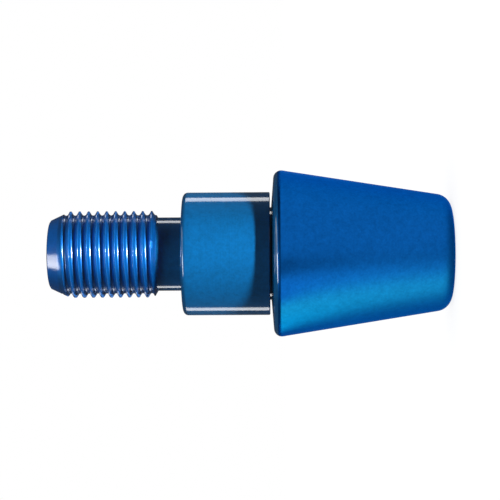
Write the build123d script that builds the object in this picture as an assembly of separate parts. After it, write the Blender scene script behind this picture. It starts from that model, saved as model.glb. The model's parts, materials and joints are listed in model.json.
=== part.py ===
from build123d import *

import os
from math import radians, tan

# A bar end weight, turned in one piece from round aluminium bar. It stands on its outer end, with its
# axis along Z and its thread uppermost. Lengths are in millimetres, angles in degrees.

# Tapered weight, which stands outside the handlebar
weight_length = 24.4  # to the sharp corner of its base
weight_base_diameter = 23.34  # at the sharp corner, before the edge is rounded
weight_taper_angle = 9.0  # of the side to the axis
base_edge_radius = 1.1
seat_angle = 4.5  # of the seat against the bar, which rises towards the axis
outer_edge_radius = 2.2

# Relief groove between the weight and the spigot
groove_width = 0.35  # at the spigot's diameter
groove_depth = 2.1  # below the spigot

# Spigot, which centres the weight in the bore of the handlebar
spigot_diameter = 17.0
spigot_length = 12.0
spigot_lead_radius = 0.7
spigot_edge_break = 0.1  # beside the groove

# Undercut neck, where the thread runs out
neck_length = 3.5
neck_depth = 0.92  # below the thread's major diameter
neck_corner_radius = 0.3
neck_shoulder_angle = 60.0  # of the thread's end to the axis

# Threaded shank, drawn at its major diameter
thread_diameter = 12.0
thread_length = 14.9  # from the neck to the front face
lead_depth = 1.28  # of the bevel that starts the thread
lead_angle = 25.0  # of that bevel to the axis
front_edge_break = 0.15


def bevel_length(depth, angle):
    """Length along the axis of a bevel that is depth high and leans at angle to the axis."""
    return depth / tan(radians(angle))


def seat_height(radius):
    """Height of the coned seat at a radius."""
    return weight_length + (weight_base_diameter / 2 - radius) * tan(radians(seat_angle))


def outline_corners():
    """Sharp corners of the half section as (radius, height), from the outer end up to the front face."""
    base_radius = weight_base_diameter / 2
    outer_radius = base_radius - weight_length * tan(radians(weight_taper_angle))
    spigot_radius = spigot_diameter / 2
    groove_radius = spigot_radius - groove_depth
    thread_radius = thread_diameter / 2
    neck_radius = thread_radius - neck_depth
    front_radius = thread_radius - lead_depth

    groove_top = seat_height(spigot_radius) + groove_width
    spigot_top = groove_top + spigot_length
    neck_top = spigot_top + neck_length
    front_height = neck_top + thread_length

    return {
        "outer centre": (0, 0),
        "outer edge": (outer_radius, 0),
        "base edge": (base_radius, weight_length),
        "groove floor at the weight": (groove_radius, seat_height(groove_radius)),
        "groove floor at the spigot": (groove_radius, groove_top),
        "spigot edge": (spigot_radius, groove_top),
        "spigot lead": (spigot_radius, spigot_top),
        "neck corner": (neck_radius, spigot_top),
        "neck end": (neck_radius, neck_top),
        "thread end": (thread_radius, neck_top + bevel_length(neck_depth, neck_shoulder_angle)),
        "thread start": (thread_radius, front_height - bevel_length(lead_depth, lead_angle)),
        "front edge": (front_radius, front_height),
        "front centre": (0, front_height),
    }


def half_section():
    """Half section of the weight, with its edges rounded or broken as the tool leaves them."""
    corners = outline_corners()
    rounded = {
        "outer edge": outer_edge_radius,
        "base edge": base_edge_radius,
        "spigot lead": spigot_lead_radius,
        "neck corner": neck_corner_radius,
    }
    broken = {
        "spigot edge": spigot_edge_break,
        "front edge": front_edge_break,
    }
    section = make_face(Polyline(*corners.values(), close=True))
    for name, radius in rounded.items():
        corner = section.vertices().sort_by_distance(corners[name])[0]
        section = fillet(corner, radius)
    for name, length in broken.items():
        corner = section.vertices().sort_by_distance(corners[name])[0]
        section = chamfer(corner, length)
    return section


bar_end_weight = revolve(Plane.XZ * half_section(), Axis.Z)

os.makedirs("parts", exist_ok=True)
export_step(bar_end_weight, "parts/bar_end_weight.step")

box = bar_end_weight.bounding_box()
print(f"bar_end_weight: {bar_end_weight.volume / 1000:.2f} cm3")
print(f"{box.size.X:.2f} x {box.size.Y:.2f} x {box.size.Z:.2f} mm, from z = {box.min.Z:.2f}")
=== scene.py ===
# %% [markdown]
# # A bar end weight
# The part is a weight for the end of a motorbike handlebar, turned in one piece from aluminium bar and
# anodised blue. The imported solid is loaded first, because every other cell is measured against it. It has
# the whole form apart from the helical thread, so the visual model repeats its outline and adds the
# thread.

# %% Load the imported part
import json
from math import atan2, ceil, cos, pi, radians, sin, tan

import bmesh
import bpy
from mathutils import Matrix, Vector


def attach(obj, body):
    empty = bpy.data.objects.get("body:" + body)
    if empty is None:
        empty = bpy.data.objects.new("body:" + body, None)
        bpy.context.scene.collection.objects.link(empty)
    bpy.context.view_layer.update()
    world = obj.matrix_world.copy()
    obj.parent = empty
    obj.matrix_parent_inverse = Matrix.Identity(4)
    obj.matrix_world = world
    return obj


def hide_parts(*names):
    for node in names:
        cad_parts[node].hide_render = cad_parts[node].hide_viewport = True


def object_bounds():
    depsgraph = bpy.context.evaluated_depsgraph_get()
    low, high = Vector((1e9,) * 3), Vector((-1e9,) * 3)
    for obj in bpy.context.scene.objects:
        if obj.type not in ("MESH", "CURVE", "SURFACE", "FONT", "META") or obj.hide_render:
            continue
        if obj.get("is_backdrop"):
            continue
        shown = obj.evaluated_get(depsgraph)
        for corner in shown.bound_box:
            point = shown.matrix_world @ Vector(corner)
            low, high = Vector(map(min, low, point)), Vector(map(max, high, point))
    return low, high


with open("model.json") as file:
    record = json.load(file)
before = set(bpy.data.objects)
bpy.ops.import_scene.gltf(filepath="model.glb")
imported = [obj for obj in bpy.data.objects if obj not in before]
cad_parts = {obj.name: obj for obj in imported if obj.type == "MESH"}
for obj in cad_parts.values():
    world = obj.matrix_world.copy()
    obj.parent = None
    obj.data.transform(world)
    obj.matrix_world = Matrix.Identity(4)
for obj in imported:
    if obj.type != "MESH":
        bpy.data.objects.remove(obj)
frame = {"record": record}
cad_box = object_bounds()
print("packed part:", [round(side * 1000, 2) for side in cad_box[1] - cad_box[0]], "mm")

# %% [markdown]
# ## Sizes
# A turned part is one outline spun round an axis, so its sizes are radii and heights. The record gives
# the radii of the two pins, which other parts fit. The rest are the part's own, such as the taper and the
# edges. They are written in millimetres, as on a drawing, and turned into metres at the end.

# %% Sizes of the turned outline, in millimetres
MILLIMETRE = 0.001

mounts = {mount["name"]: mount for mount in frame["record"]["mounts"]}
spigot_radius = mounts["spigot"]["dims"]["r_mm"]
thread_radius = mounts["thread"]["dims"]["r_mm"]
front_height = cad_box[1].z / MILLIMETRE

weight_length = 24.4
base_radius = 11.67
taper_angle = radians(9)
outer_edge = 2.2
base_edge = 1.1
seat_angle = radians(4.5)
groove_width = 0.35
groove_depth = 2.1
spigot_length = 12.0
spigot_lead = 0.7
spigot_break = 0.1
neck_length = 3.5
neck_depth = 0.92
neck_corner = 0.3
neck_bevel = radians(60)
lead_depth = 1.28
lead_angle = radians(25)
front_break = 0.15


def seat_height(radius):
    """Height of the coned seat at a radius."""
    return weight_length + (base_radius - radius) * tan(seat_angle)


outer_radius = base_radius - weight_length * tan(taper_angle)
groove_radius = spigot_radius - groove_depth
groove_top = seat_height(spigot_radius) + groove_width
spigot_top = groove_top + spigot_length
neck_radius = thread_radius - neck_depth
neck_top = spigot_top + neck_length
front_radius = thread_radius - lead_depth
print(f"spigot {2 * spigot_radius:.1f} mm across, shank {front_height - neck_top:.1f} mm long")

# %% [markdown]
# ## The outline of the plain stretches
# On the lathe each edge is left with a small round or a broken corner. The outline is a list of corners,
# and a helper puts an arc in the place of each corner that has a radius. A Bevel modifier could round the
# finished mesh, but the radii differ from edge to edge, and a few points on the outline are exact.

# %% Helper: an outline with rounded and broken corners
ARC_STEPS = 10


def corner_arc(before, corner, after, radius, steps):
    """Points of an arc that rounds a corner between two straight stretches."""
    back = (before - corner).normalized()
    ahead = (after - corner).normalized()
    half_angle = back.angle(ahead) / 2
    centre = corner + (back + ahead).normalized() * (radius / sin(half_angle))
    start = corner + back * (radius / tan(half_angle)) - centre
    end = corner + ahead * (radius / tan(half_angle)) - centre
    start_angle = atan2(start.y, start.x)
    sweep = (atan2(end.y, end.x) - start_angle + pi) % (2 * pi) - pi
    angles = [start_angle + sweep * step / steps for step in range(steps + 1)]
    return [centre + radius * Vector((cos(angle), sin(angle))) for angle in angles]


def turned_outline(corners):
    """Points of an outline given as (radius, height, edge, form of the edge)."""
    spots = [Vector(corner[:2]) for corner in corners]
    points = []
    for index, (_, _, edge, form) in enumerate(corners):
        spot = spots[index]
        if form == "round":
            points += corner_arc(spots[index - 1], spot, spots[index + 1], edge, ARC_STEPS)
        elif form == "broken":
            points.append(spot + (spots[index - 1] - spot).normalized() * edge)
            points.append(spot + (spots[index + 1] - spot).normalized() * edge)
        else:
            points.append(spot)
    return points


print("a rounded corner takes", ARC_STEPS + 1, "points")

# %% [markdown]
# ## The thread
# The shank carries a right-hand metric thread. On a lathe, a single-point tool cuts such a thread as one
# V groove along a helix, into a blank with bevelled ends. It could be drawn with a Screw modifier, but
# then both ends would be raw, or cut by a boolean, which is slow and leaves slivers. Here every half
# plane through the axis gets the section of the grooves where they cross it, cut off by the blank's own
# outline, so the crests, the roots and the places where the thread runs out all follow from a few sizes.

# %% Sizes of the thread, in millimetres
pitch = 1.25
flank_angle = radians(30)
crest_flat = pitch / 8
root_round = 0.29 * pitch
crest_round = 0.035
largest_share = 0.4  # of a flank or a crest, that the rounding of its edge may take
shortest_side = 1e-6
ROOT_STEPS = 6
CREST_POINTS = 3
COLUMNS = 256

half_opening = (pitch - crest_flat) / 2
vee_depth = half_opening / tan(flank_angle)
bottom_radius = thread_radius - vee_depth + root_round
root_centre = bottom_radius + root_round
tangent_radius = root_centre - root_round * sin(flank_angle)

# straight stretches of the blank, each as its radius at height 0 and its rise along the axis
blank_lines = [
    (neck_radius - neck_top * tan(neck_bevel), tan(neck_bevel)),
    (thread_radius, 0.0),
    (front_radius + front_height * tan(lead_angle), -tan(lead_angle)),
]
thread_bottom = neck_top + (bottom_radius - neck_radius) / tan(neck_bevel)
thread_top = front_height - (bottom_radius - front_radius) / tan(lead_angle)
print(f"root {2 * bottom_radius:.2f} mm across, thread from {thread_bottom:.2f} to {thread_top:.2f} mm")

# %% Helper: the section of the thread in one half plane
crest_height = 52.61  # of one crest, on the side towards +X
groove_rows = 2 * CREST_POINTS + ROOT_STEPS + 1
crests_below = ceil((crest_height + 1.5 * pitch - half_opening - thread_bottom) / pitch)
first_groove = crest_height + pitch / 2 - crests_below * pitch
groove_count = crests_below + ceil((thread_top + half_opening - crest_height - pitch / 2) / pitch)


def blank_radius(height):
    """Radius of the blank at a height, before the thread is cut."""
    return min(start + rise * height for start, rise in blank_lines)


def flank_end(centre, side):
    """Where a groove's flank leaves the blank. Side is -1 towards the neck and 1 towards the front."""
    lean = side * tan(flank_angle)
    base = centre + side * half_opening - lean * thread_radius
    radius = min((start + rise * base) / (1 - rise * lean) for start, rise in blank_lines)
    radius = max(radius, tangent_radius)
    return Vector((radius, base + lean * radius))


def root_arc(centre):
    """The rounded bottom of a groove, from flank to flank."""
    spread = pi / 2 - flank_angle
    angles = [spread * (2 * step / ROOT_STEPS - 1) for step in range(ROOT_STEPS + 1)]
    return [
        Vector((root_centre - root_round * cos(angle), centre + root_round * sin(angle)))
        for angle in angles
    ]


def soft_edge(before, corner, after):
    """Three points that take the sharpness off a crest's edge, less where a flank or crest is short."""
    back = before - corner
    ahead = after - corner
    if min(back.length, ahead.length) < shortest_side:
        return [corner] * CREST_POINTS
    half_angle = back.angle(ahead) / 2
    reach = min(crest_round / tan(half_angle), largest_share * min(back.length, ahead.length))
    middle = (back.normalized() + ahead.normalized()).normalized()
    inset = reach * (1 / cos(half_angle) - tan(half_angle))
    return [
        corner + back.normalized() * reach,
        corner + middle * inset,
        corner + ahead.normalized() * reach,
    ]


def thread_section(turn):
    """Outline of the threaded stretch in the half plane at that turn, a share of a full turn."""
    centres = [first_groove + pitch * (index + turn) for index in range(groove_count)]
    lower = [flank_end(centre, -1) for centre in centres]
    upper = [flank_end(centre, 1) for centre in centres]
    crest = Vector((0, crest_flat))
    points = []
    for index, centre in enumerate(centres):
        root = root_arc(centre)
        crest_before = upper[index - 1] if index else lower[0] - crest
        crest_after = lower[index + 1] if index + 1 < groove_count else upper[-1] + crest
        points += soft_edge(crest_before, lower[index], root[0])
        points += root
        points += soft_edge(root[-1], upper[index], crest_after)
    for point in points:
        point.y = min(max(point.y, thread_bottom), thread_top)
        point.x = min(max(point.x, bottom_radius), blank_radius(point.y))
    return points


print(groove_count, "grooves of", groove_rows, "points cross each half plane")

# %% [markdown]
# ## One mesh
# The real part has no seam between its stretches, so the mesh has none either. Each stretch is a grid of
# rows and columns. The thread's grid closes one groove higher than it started, which is what makes it a
# helix, and points that fall outside the blank have all come to lie on its end rings. Merging by distance
# then welds the grids into one closed skin.

# %% Helper: grids of points round the axis
def add_grid(grid, sections, climb):
    """Faces between neighbouring sections. The last meets the first, climb rows further up."""
    columns = [
        [
            grid.verts.new((
                point.x * MILLIMETRE * cos(2 * pi * column / COLUMNS),
                point.x * MILLIMETRE * sin(2 * pi * column / COLUMNS),
                point.y * MILLIMETRE,
            ))
            for point in section
        ]
        for column, section in enumerate(sections)
    ]
    columns.append(columns[0][climb:])
    for here, following in zip(columns, columns[1:]):
        rows = min(len(here), len(following))
        for row in range(rows - 1):
            grid.faces.new((here[row], following[row], following[row + 1], here[row + 1]))


def long_stretches_split(points, longest):
    """The same outline, with straight stretches cut into even rows."""
    split = [points[0]]
    for start, end in zip(points, points[1:]):
        pieces = ceil((end - start).length / longest)
        split += [start.lerp(end, piece / pieces) for piece in range(1, pieces + 1)]
    return split


print("a full turn has", COLUMNS, "columns")

# %% The plain stretches, from the outer end to the thread and from the thread to the front face
weight_outline = turned_outline([
    (0, 0, 0, "sharp"),
    (outer_radius, 0, outer_edge, "round"),
    (base_radius, weight_length, base_edge, "round"),
    (groove_radius, seat_height(groove_radius), 0, "sharp"),
    (groove_radius, groove_top, 0, "sharp"),
    (spigot_radius, groove_top, spigot_break, "broken"),
    (spigot_radius, spigot_top, spigot_lead, "round"),
    (neck_radius, spigot_top, neck_corner, "round"),
    (neck_radius, neck_top, 0, "sharp"),
    (bottom_radius, thread_bottom, 0, "sharp"),
])
nose_outline = turned_outline([
    (bottom_radius, thread_top, 0, "sharp"),
    (front_radius, front_height, front_break, "broken"),
    (0, front_height, 0, "sharp"),
])
print(len(weight_outline), "points below the thread,", len(nose_outline), "above it")

# %% Weld the stretches into one skin
ROW_LENGTH = 1.5
WELD_DISTANCE = 2e-7  # metres

skin = bmesh.new()
for outline in (weight_outline, nose_outline):
    add_grid(skin, [long_stretches_split(outline, ROW_LENGTH)] * COLUMNS, 0)
add_grid(skin, [thread_section(column / COLUMNS) for column in range(COLUMNS)], groove_rows)
bmesh.ops.remove_doubles(skin, verts=skin.verts, dist=WELD_DISTANCE)
bmesh.ops.dissolve_degenerate(skin, edges=skin.edges, dist=WELD_DISTANCE)
open_edges = sum(not edge.is_manifold for edge in skin.edges)
print(len(skin.faces), "faces,", open_edges, "open edges,", round(skin.calc_volume() * 1e6, 3), "cm3")

# %% [markdown]
# ## The piece
# The skin becomes one object, because nothing on the real part comes off or moves. Smooth shading alone
# would smear the light over the turned corners, and flat shading would show the columns. So edges that
# bend by more than a set angle stay sharp, and normals are weighted by face area, which keeps the long
# cone and the cylinders even beside their small rounds.

# %% Make the piece from the skin
SHARP_ANGLE = radians(30)

mesh = bpy.data.meshes.new("turned_weight")
skin.to_mesh(mesh)
skin.free()
mesh.shade_smooth()
mesh.set_sharp_from_angle(angle=SHARP_ANGLE)
weight = bpy.data.objects.new("turned_weight", mesh)
bpy.context.scene.collection.objects.link(weight)
even_shading = weight.modifiers.new("even_shading", "WEIGHTED_NORMAL")
even_shading.keep_sharp = True
print("turned_weight:", sum(len(face.vertices) - 2 for face in mesh.polygons), "triangles")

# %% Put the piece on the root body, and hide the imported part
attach(weight, "root")
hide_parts("bar_end_weight")
print("turned_weight stands for bar_end_weight")

# %% [markdown]
# ## Shader maths
# A finish varies a little over a surface, and each step of that is a small sum. Placing Math nodes one by
# one hides the sum among links, so a small class wraps a socket and lets Python's operators add the
# nodes. Anything else, such as a texture or a shader, comes from one method. Colours go through a Mix
# node, because a Math node would turn them grey.

# %% Helper: shader maths as Python expressions
class Wire:
    """An output socket in a node tree, on which Python's operators add Math nodes."""

    def __init__(self, tree, socket=None):
        self.tree = tree
        self.socket = socket

    def node(self, kind, settings=None, inputs=None, output=0):
        """Adds a node: its settings first, then a value or a link for each named input."""
        made = self.tree.nodes.new(kind)
        for name, value in (settings or {}).items():
            setattr(made, name, value)
        for name, value in (inputs or {}).items():
            socket = self.find(made.inputs, name)
            if isinstance(value, Wire):
                self.tree.links.new(value.socket, socket)
            else:
                socket.default_value = value
        return Wire(self.tree, self.find(made.outputs, output) if made.outputs else None)

    @staticmethod
    def find(sockets, name):
        """A socket by its place or its name. A Mix node repeats its names, and hides those not in use."""
        if isinstance(name, int):
            return sockets[name]
        return next(socket for socket in sockets if socket.name == name and not socket.is_unavailable)

    def math(self, operation, first, second):
        return self.node("ShaderNodeMath", {"operation": operation}, {0: first, 1: second})

    def __add__(self, other):
        return self.math("ADD", self, other)

    def __radd__(self, other):
        return self.math("ADD", other, self)

    def __sub__(self, other):
        return self.math("SUBTRACT", self, other)

    def __rsub__(self, other):
        return self.math("SUBTRACT", other, self)

    def __mul__(self, other):
        return self.math("MULTIPLY", self, other)

    def __rmul__(self, other):
        return self.math("MULTIPLY", other, self)


def new_material(name):
    """An empty material and the start of its wiring."""
    material = bpy.data.materials.new(name)
    material.use_nodes = True
    material.node_tree.nodes.clear()
    return material, Wire(material.node_tree)


print("operators of a wire: + - *")

# %% [markdown]
# ## The dye
# Anodising grows a thin layer of clear, porous alumina on aluminium, and a dye fills its pores. The blue
# of this part is not quite even: it has a fine speckle. A picture could carry that, but it would stretch
# over the cone and need UVs. Noise in the object's own coordinates has the same scale all over, so three
# sizes of it are added: clouds of some millimetres, mottle of about a millimetre and grain of a quarter
# of one.

# %% Helper: dyed metal, from its deepest to its palest
CLOUDS = 160.0  # per metre, and so are the other two
MOTTLE = 1300.0
GRAIN = 3500.0
FINER_LAYERS = 2.0  # of noise, each half the size of the one before


def noise(wire, place, scale):
    """Noise between 0 and 1, finer for a larger scale."""
    return wire.node("ShaderNodeTexNoise", {}, {"Vector": place, "Scale": scale, "Detail": FINER_LAYERS})


def dyed(wire, place, deep, pale):
    """The dye's colour, which wanders from deep to pale."""
    clouds = noise(wire, place, CLOUDS)
    mottle = noise(wire, place, MOTTLE)
    grain = noise(wire, place, GRAIN)
    speckle = 0.2 * clouds + 0.4 * mottle + 0.4 * grain
    ends = {"Factor": speckle, "A": (*deep, 1), "B": (*pale, 1)}
    return wire.node("ShaderNodeMix", {"data_type": "RGBA"}, ends, output="Result")


print("grain", round(1000 / GRAIN, 2), "mm, mottle", round(1000 / MOTTLE, 2), "mm")

# %% [markdown]
# ## Satin blue
# The tapered weight looks satin: its reflections are wide and soft, with no sharp edge in them, and it
# glitters a little. Fine beads, blasted at the metal before it is dyed, can leave such a surface. Here it
# is a metal with a coloured, rough reflection, and a bump makes the fine pits. A specular tint keeps its
# edges blue, because a metal's reflection would otherwise turn white there.

# %% Finish of the tapered weight
PIT_DEPTH = 0.00002  # metres
PIT_STRENGTH = 0.5
SATIN_ROUGHNESS = 0.54
SATIN_GLITTER = 0.08  # how much smoother the metal is between the pits
SATIN_EDGE = (0.2, 0.45, 0.85, 1)
SATIN_DYE = {"deep": (0.001, 0.045, 0.180), "pale": (0.004, 0.135, 0.520)}


def satin_blue():
    material, wire = new_material("satin_blue")
    place = wire.node("ShaderNodeTexCoord", output="Object")
    pits = noise(wire, place, GRAIN)
    bump = wire.node("ShaderNodeBump", {}, {
        "Height": pits,
        "Strength": PIT_STRENGTH,
        "Distance": PIT_DEPTH,
    })
    shader = wire.node("ShaderNodeBsdfPrincipled", {}, {
        "Base Color": dyed(wire, place, **SATIN_DYE),
        "Metallic": 1.0,
        "Roughness": SATIN_ROUGHNESS - SATIN_GLITTER * pits,
        "Specular Tint": SATIN_EDGE,
        "Normal": bump,
    })
    wire.node("ShaderNodeOutputMaterial", {}, {"Surface": shader})
    return material


mesh.materials.append(satin_blue())
print("satin_blue:", len(mesh.materials[-1].node_tree.nodes), "nodes")

# %% [markdown]
# ## Bright blue
# The spigot, the neck and the thread look bright, as a lathe tool leaves them. They show sharp white
# reflections on top of a soft blue one, as a clear layer over dyed metal does. One glossy metal can't
# show both, so the metal below is rough and a smooth coat lies over it, with alumina's index of
# refraction. Noise that is squeezed along the axis makes the fine rings of turning. The thread looks
# deeper in colour than the cylinders and a little glossier, so its dye and its roughness are its own.

# %% Finish of the turned stretches
ALUMINA_INDEX = 1.77
RING_SCALE = (60.0, 60.0, 9000.0)  # per metre round and along the axis
RING_HEIGHT = 0.00002  # metres
RING_STRENGTH = 0.05
RING_GLITTER = 0.08  # how much the roughness changes from ring to ring
SPIGOT_DYE = {"deep": (0.001, 0.090, 0.225), "pale": (0.004, 0.240, 0.595)}
THREAD_DYE = {"deep": (0.001, 0.088, 0.300), "pale": (0.004, 0.177, 0.610)}


def bright_blue(name, roughness, coat_roughness, dye):
    material, wire = new_material(name)
    place = wire.node("ShaderNodeTexCoord", output="Object")
    squeezed = wire.node("ShaderNodeVectorMath", {"operation": "MULTIPLY"}, {0: place, 1: RING_SCALE})
    rings = noise(wire, squeezed, 1.0)
    bump = wire.node("ShaderNodeBump", {}, {
        "Height": rings,
        "Strength": RING_STRENGTH,
        "Distance": RING_HEIGHT,
    })
    shader = wire.node("ShaderNodeBsdfPrincipled", {}, {
        "Base Color": dyed(wire, place, **dye),
        "Metallic": 1.0,
        "Roughness": roughness - RING_GLITTER / 2 + RING_GLITTER * rings,
        "Coat Weight": 1.0,
        "Coat Roughness": coat_roughness,
        "Coat IOR": ALUMINA_INDEX,
        "Normal": bump,
    })
    wire.node("ShaderNodeOutputMaterial", {}, {"Surface": shader})
    return material


mesh.materials.append(bright_blue("bright_blue", roughness=0.82, coat_roughness=0.10, dye=SPIGOT_DYE))
mesh.materials.append(bright_blue("thread_blue", roughness=0.58, coat_roughness=0.18, dye=THREAD_DYE))
mesh.materials.append(bright_blue("nose_blue", roughness=0.82, coat_roughness=0.18, dye=THREAD_DYE))
print("finishes:", [material.name for material in mesh.materials])

# %% [markdown]
# ## Where each finish starts
# The cone is satin up to its round edge, where a sharp glint shows that the bright finish has begun. Just
# where they meet is a guess. The thread and the bevel in front of it have finishes of their own. All four
# meet on rings round the axis, so a face's height says which one it has.

# %% Give each face its finish
BRIGHT_EDGE = 0.42  # millimetres of the base edge that are bright, along the axis

finish_starts = [weight_length - BRIGHT_EDGE, neck_top, thread_top]
for face in mesh.polygons:
    face.material_index = sum(face.center.z > start * MILLIMETRE for start in finish_starts)
finish_of_faces = [face.material_index for face in mesh.polygons]
print("faces with each finish:", [finish_of_faces.count(index) for index in range(len(mesh.materials))])

# %% [markdown]
# ## Floor and surroundings
# The part stands on a white floor in white surroundings. A white paint alone would only be as white as
# the lamps make it, so the floor glows at most of its level and its paint takes a soft shadow where the
# part stands. The view is of a part that lies down, with its light from the side of its outer end. Here
# the part stands on that end, so the lamps are lower than the floor, and the floor is left out of
# reflections and shadows.

# %% White floor
FLOOR_REACH = 4.0
FLOOR_DROP = 1e-5  # below the part, so that the two faces don't mix
FLOOR_GLOW = 0.85
FLOOR_PAINT = (0.2, 0.2, 0.2, 1)


def pale_floor():
    material, wire = new_material("pale_floor")
    glow = wire.node("ShaderNodeEmission", {}, {"Color": (1, 1, 1, 1), "Strength": FLOOR_GLOW})
    paint = wire.node("ShaderNodeBsdfDiffuse", {}, {"Color": FLOOR_PAINT})
    both = wire.node("ShaderNodeAddShader", {}, {0: glow, 1: paint})
    wire.node("ShaderNodeOutputMaterial", {}, {"Surface": both})
    return material


floor_mesh = bpy.data.meshes.new("floor")
corners = [(-1, -1), (1, -1), (1, 1), (-1, 1)]
floor_points = [(x * FLOOR_REACH, y * FLOOR_REACH, -FLOOR_DROP) for x, y in corners]
floor_mesh.from_pydata(floor_points, [], [(0, 1, 2, 3)])
floor_mesh.materials.append(pale_floor())
floor = bpy.data.objects.new("floor", floor_mesh)
bpy.context.scene.collection.objects.link(floor)
floor.visible_glossy = False
floor.visible_shadow = False
floor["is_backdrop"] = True
print("floor:", 2 * FLOOR_REACH, "m wide")

# %% White surroundings
world = bpy.data.worlds.new("white_surroundings")
world.use_nodes = True
world.node_tree.nodes.clear()
surroundings = Wire(world.node_tree)
white = surroundings.node("ShaderNodeBackground", {}, {"Color": (1, 1, 1, 1), "Strength": 1.0})
surroundings.node("ShaderNodeOutputWorld", {}, {"Surface": white})
world.cycles.sampling_method = "NONE"  # aimed rays would pass through the cards that follow
bpy.context.scene.world = world
print("surroundings: white at strength 1")

# %% [markdown]
# ## Cards for the reflections
# A metal has no look of its own: it shows what stands round it. A photographer puts up black and white
# cards for that, out of view. Here a card is a glowing sheet that only reflections see, on a sphere round
# the part. Its place is given by two angles. Tilt is up from level, and turn goes round the axis from the
# camera's side towards +X. A World texture could hold the same picture, but sheets close to the part
# reflect as near things do, and they can cast shadows.

# %% Helper: sheets that only reflections see
CARD_STEP = 3  # degrees
ROOM_CENTRE = Vector((0, 0, 0.03))


def direction(tilt, turn):
    """Direction from the part, with both angles in degrees."""
    tilt = radians(tilt)
    turn = radians(turn)
    return Vector((cos(tilt) * sin(turn), -cos(tilt) * cos(turn), sin(tilt)))


def glow(name, level):
    """A light of one level all over, or as painted on the sheet's points where the level is None."""
    material, wire = new_material(name)
    light = {"Color": (1, 1, 1, 1), "Strength": level}
    if level is None:
        painted = wire.node("ShaderNodeAttribute", {"attribute_name": "light"}, output="Color")
        light = {"Color": painted, "Strength": 1.0}
    wire.node("ShaderNodeOutputMaterial", {}, {"Surface": wire.node("ShaderNodeEmission", {}, light)})
    return material


def sheet(name, rows, level):
    """A sheet through rows of points, each row as long as the others."""
    width = len(rows[0])
    starts = [row * width + column for row in range(len(rows) - 1) for column in range(width - 1)]
    sheet_mesh = bpy.data.meshes.new(name)
    sheet_mesh.from_pydata(
        [point for row in rows for point in row],
        [],
        [(start, start + 1, start + width + 1, start + width) for start in starts],
    )
    sheet_mesh.materials.append(glow(name, level))
    made = bpy.data.objects.new(name, sheet_mesh)
    bpy.context.scene.collection.objects.link(made)
    made.visible_camera = False
    made.visible_diffuse = False
    made.visible_shadow = False
    made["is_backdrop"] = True
    return made


def even_steps(ends):
    """Angles from one end to the other, about a card step apart."""
    count = ceil((ends[1] - ends[0]) / CARD_STEP)
    return [ends[0] + (ends[1] - ends[0]) * step / count for step in range(count + 1)]


def curved_card(name, tilts, turns, level, distance):
    """A card on a sphere round the part, between two tilts and two turns."""
    rows = [
        [ROOM_CENTRE + distance * direction(tilt, turn) for turn in even_steps(turns)]
        for tilt in even_steps(tilts)
    ]
    return sheet(name, rows, level)


print("a card has a point every", CARD_STEP, "degrees")

# %% [markdown]
# ## The room
# Most of what the bright cylinders mirror is dark, which leaves their blue clear. Two narrow strips, high
# and low behind the part, draw the thin white lines along the top and the bottom of the spigot and the
# neck. A small bright panel shows as the white patch on the bevel in front of the thread. It also fills
# what faces it, and a ceiling helps it there.

# %% Dark room, ceiling and strips
ALL_ROUND = (-180, 180)
ROOM_DISTANCE = 0.90
STRIP_DISTANCE = 0.50
STRIP_LEVEL = 3.5

# name, ends in tilt, ends in turn, level of light, distance in metres
cards = [
    ("dark_room", (-44, 63), ALL_ROUND, 0.05, ROOM_DISTANCE),
    ("front_ceiling", (63, 75), (-40, 120), 2.0, ROOM_DISTANCE),
    ("back_ceiling", (63, 75), (120, 320), 0.06, ROOM_DISTANCE),
    ("zenith", (75, 89), ALL_ROUND, 0.5, ROOM_DISTANCE),
    ("high_strip", (-8, 15), (115, 129), STRIP_LEVEL, STRIP_DISTANCE),
    ("low_strip", (-8, 15), (-132, -120), STRIP_LEVEL, STRIP_DISTANCE),
]
for card in cards:
    curved_card(*card)
print("cards:", [name for name, *_ in cards])

# %% Panel for the bevel in front of the thread
PANEL_HEIGHT = 0.555
PANEL_ENDS_X = (-0.335, -0.005)
PANEL_ENDS_Y = (-0.33, -0.19)
PANEL_LEVEL = 10.0

panel_rows = [[(x, y, PANEL_HEIGHT) for x in PANEL_ENDS_X] for y in PANEL_ENDS_Y]
panel = sheet("nose_panel", panel_rows, PANEL_LEVEL)
print("panel:", [round(side, 3) for side in panel.dimensions], "m")

# %% [markdown]
# ## The paper tent
# The satin cone mirrors what is beside and below it. A cone of paper stands close round it, as a light
# tent does round a small product. Its light changes round the axis, which gives the cone its wide bright
# band and the dark one next to it. The light is painted on the tent's points and runs softly from one
# stop to the next. The tent's top edge lies just under the line on which the lamps graze the weight's
# rim, so it keeps their direct light off the cone, and the shadow on the spigot is still the rim's own. A
# base closes it below.

# %% Helper: a ring of paper with light painted on it
def light_at(stops, turn):
    """The light at a turn, between the stops on both sides of it."""
    for (start, before), (end, after) in zip(stops, stops[1:]):
        if turn <= end:
            return Vector(before).lerp(Vector(after), (turn - start) / (end - start))
    return Vector(stops[-1][1])


def paper_ring(name, edges, stops):
    """A ring round the axis between two edges, each a radius and a height. Stops are turns and lights."""
    turns = even_steps((stops[0][0], stops[-1][0]))
    rows = [
        [radius * direction(0, turn) + Vector((0, 0, height)) for turn in turns]
        for radius, height in edges
    ]
    ring = sheet(name, rows, None)
    lights = [(*light_at(stops, turn), 1) for turn in turns] * len(rows)
    painted = ring.data.attributes.new("light", "FLOAT_COLOR", "POINT")
    painted.data.foreach_set("color", [share for light in lights for share in light])
    ring.data.materials[0].cycles.emission_sampling = "NONE"  # so close that reflected rays find it
    return ring


def white_light(level):
    return (level, level, level)


print("paper rings have a point every", CARD_STEP, "degrees too")

# %% Tent and base
TENT_TOP = (0.01165, 0.0236)  # radius and height in metres, as of the foot
TENT_FOOT = (0.023, -0.02)
WARM_LIGHT = (3.8, 3.55, 1.9)
BASE_LIGHT = white_light(0.4)

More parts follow.
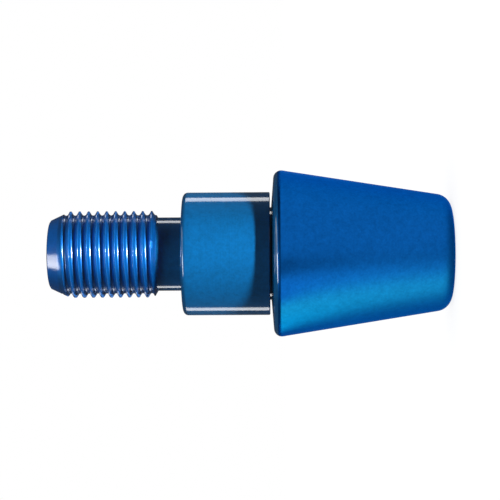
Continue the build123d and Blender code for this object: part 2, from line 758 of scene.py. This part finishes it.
# turn in degrees, and the light there
tent_stops = [
    (-110, white_light(0.80)),
    (-73, white_light(0.75)),
    (-63, WARM_LIGHT),
    (-41, WARM_LIGHT),
    (-31, white_light(1.60)),
    (-21, white_light(1.60)),
    (-11, white_light(0.65)),
    (-6, white_light(0.65)),
    (2, white_light(1.10)),
    (100, white_light(1.10)),
    (130, white_light(0.80)),
    (160, white_light(2.20)),
    (180, white_light(2.20)),
    (205, white_light(0.80)),
    (250, white_light(0.80)),
]
tent = paper_ring("tent", (TENT_TOP, TENT_FOOT), tent_stops)
tent.visible_shadow = True
base_middle = (0, TENT_FOOT[1])
tent_base = paper_ring("tent_base", (TENT_FOOT, base_middle), [(turn, BASE_LIGHT) for turn in ALL_ROUND])
tent_base.visible_shadow = True
print("tent:", len(tent_stops), "stops of light")

# %% [markdown]
# ## Lamps
# The spigot and the thread take their main light from a narrow strip lamp, set low at the side of the
# outer end. It draws the short white glints on the thread's crests, and the rim's shadow falls on the
# spigot as a dark band. A wider lamp would lengthen the glints and blur the band. Two more of its kind
# stand behind the part, so that it is lit from every side.

# %% Strip lamps
LAMP_DISTANCE = 0.5
LAMP_TILT = -46
LAMP_WIDTH = 0.16
LAMP_HEIGHT = 0.026


def strip_lamp(name, turn, power):
    """A lamp at that turn, in degrees, which faces the part."""
    lamp_data = bpy.data.lights.new(name, "AREA")
    lamp_data.shape = "RECTANGLE"
    lamp_data.size = LAMP_WIDTH
    lamp_data.size_y = LAMP_HEIGHT
    lamp_data.energy = power
    lamp = bpy.data.objects.new(name, lamp_data)
    bpy.context.scene.collection.objects.link(lamp)
    towards = direction(LAMP_TILT, turn)
    faced = towards.to_track_quat("Z", "Y").to_matrix().to_4x4()
    lamp.matrix_world = Matrix.Translation(ROOM_CENTRE + LAMP_DISTANCE * towards) @ faced
    print(f"{name}: {power} W at turn {turn}")


strip_lamp("front_lamp", turn=10, power=6.6)
strip_lamp("high_back_lamp", turn=165, power=3.5)
strip_lamp("low_back_lamp", turn=200, power=3.5)

# %% [markdown]
# ## Camera
# The view is from the side, with the part's axis across the picture and the thread to the left. The
# camera is turned onto its side for that, and the part stays upright. It stands close, as for a small
# thing, so its perspective shows: the rings round the part bow away from the middle of the picture. A
# Track To constraint would turn the camera upright, so its three axes are worked out here.

# %% Camera at the photograph's place
FOCAL_LENGTH = 115.2  # millimetres, on a sensor 36 mm wide
SENSOR_WIDTH = 36.0
CLIP_START = 0.01

camera_place = Vector((0.0005, -0.2217, 0.0241))
camera_target = Vector((0.0005, 0, 0.02777))
camera_lean = -0.006

camera_data = bpy.data.cameras.new("camera")
camera_data.sensor_width = SENSOR_WIDTH
camera_data.lens = FOCAL_LENGTH
camera_data.clip_start = CLIP_START
camera = bpy.data.objects.new("camera", camera_data)
bpy.context.scene.collection.objects.link(camera)
backwards = (camera_place - camera_target).normalized()
sideways = Vector((cos(camera_lean), 0, sin(camera_lean))).cross(backwards).normalized()
upwards = backwards.cross(sideways)
camera_axes = Matrix((sideways, upwards, backwards)).transposed().to_4x4()
camera.matrix_world = Matrix.Translation(camera_place) @ camera_axes
bpy.context.scene.camera = camera
bpy.context.scene.view_settings.view_transform = "Standard"
print("camera:", round((camera_place - camera_target).length * 1000), "mm from the axis")

# %% [markdown]
# ## The two boxes
# The visual model must not outgrow the solid that it stands for, so both boxes are printed side by side.

# %% Print the two boxes
boxes = {"cad": cad_box, "visual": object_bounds()}
for name, box in boxes.items():
    print(name, "box:", [round(side * 1000, 3) for side in box[1] - box[0]], "mm")
